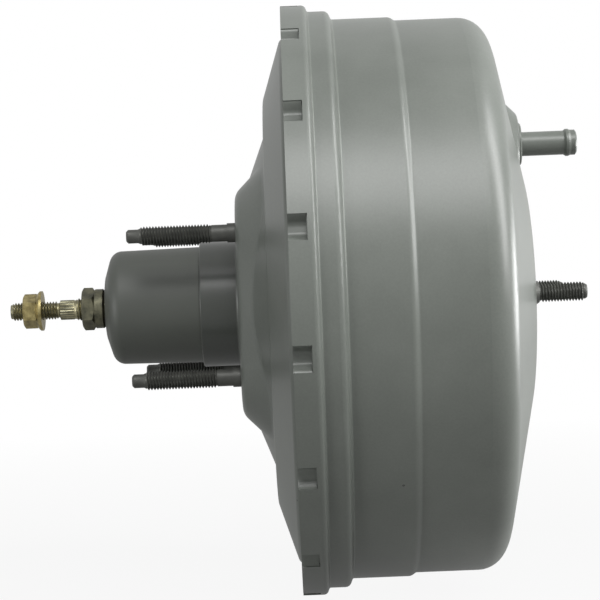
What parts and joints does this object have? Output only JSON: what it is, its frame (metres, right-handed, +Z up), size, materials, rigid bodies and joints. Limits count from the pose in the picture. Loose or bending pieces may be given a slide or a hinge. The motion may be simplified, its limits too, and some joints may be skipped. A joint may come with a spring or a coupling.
{
  "type": "brake booster",
  "caption": "Tandem vacuum brake booster: stepped steel drum, staked rear cover with studs, hose pipe, sliding power piston, valve plunger and swivelling input rod.",
  "frame": {"origin": "centre of the flat rear mounting face, on the booster's axis", "axes": "+X along the axis towards the master cylinder, +Z up through the vacuum pipe, +Y to the left when looking along +X"},
  "size_m": [0.2478, 0.2536, 0.2536],
  "materials": {
    "shell_paint": "satin sprayed grey paint",
    "cover_paint": "moulded cover sprayed with the shell's grey paint",
    "stud_phosphate": "dark phosphated steel",
    "zinc_rod": "dull olive zinc plating",
    "yellow_zinc": "yellow passivated zinc plating",
    "pressed_steel": "plain pressed steel",
    "moulded_body": "dark moulded phenolic",
    "black_rubber": "moulded rubber",
    "turned_steel": "turned steel",
    "spring_steel": "drawn spring wire",
    "felt": "pressed felt"
  },
  "bodies": {
    "root": {"front_shell": "shell_paint", "rear_shell": "shell_paint", "centre_plate": "pressed_steel", "front_reinforcement": "pressed_steel", "rear_reinforcement": "pressed_steel", "front_studs": "stud_phosphate", "rear_studs": "stud_phosphate", "vacuum_nipple": "shell_paint", "neck_cover": "cover_paint", "rear_seal": "black_rubber", "rear_bush": "moulded_body", "seal_retainer": "pressed_steel", "centre_bush": "moulded_body"},
    "power_piston": {"front_diaphragm": "black_rubber", "rear_diaphragm": "black_rubber", "front_piston": "pressed_steel", "rear_piston": "pressed_steel", "valve_body": "moulded_body", "stop_key": "pressed_steel", "poppet": "black_rubber", "poppet_retainer": "pressed_steel", "poppet_spring": "spring_steel", "air_filter": "felt", "rod_cap": "pressed_steel", "reaction_disc": "black_rubber", "output_rod": "turned_steel", "return_spring": "spring_steel", "rod_return_spring": "spring_steel"},
    "plunger": {"plunger": "turned_steel"},
    "input_rod": {"input_rod": "zinc_rod", "rod_collar": "zinc_rod", "lock_nut": "zinc_rod", "flange_nut": "yellow_zinc"}
  },
  "joints": [
    {"name": "power_piston_slide", "type": "slide", "parent": "root", "child": "power_piston", "axis": [1, 0, 0], "range_m": [0, 0.03], "stiffness_N_per_m": 2500, "springref_m": -0.05, "deforming": ["return_spring", "front_diaphragm", "rear_diaphragm"]},
    {"name": "plunger_slide", "type": "slide", "parent": "power_piston", "child": "plunger", "axis": [1, 0, 0], "range_m": [0, 0.0015], "stiffness_N_per_m": 6000, "springref_m": -0.006, "deforming": ["rod_return_spring", "poppet_spring"]},
    {"name": "rod_swivel", "type": "hinge", "parent": "plunger", "child": "input_rod", "pos_m": [-0.008, 0, 0], "axis": [0, 1, 0], "range_deg": [-2, 2]}
  ]
}
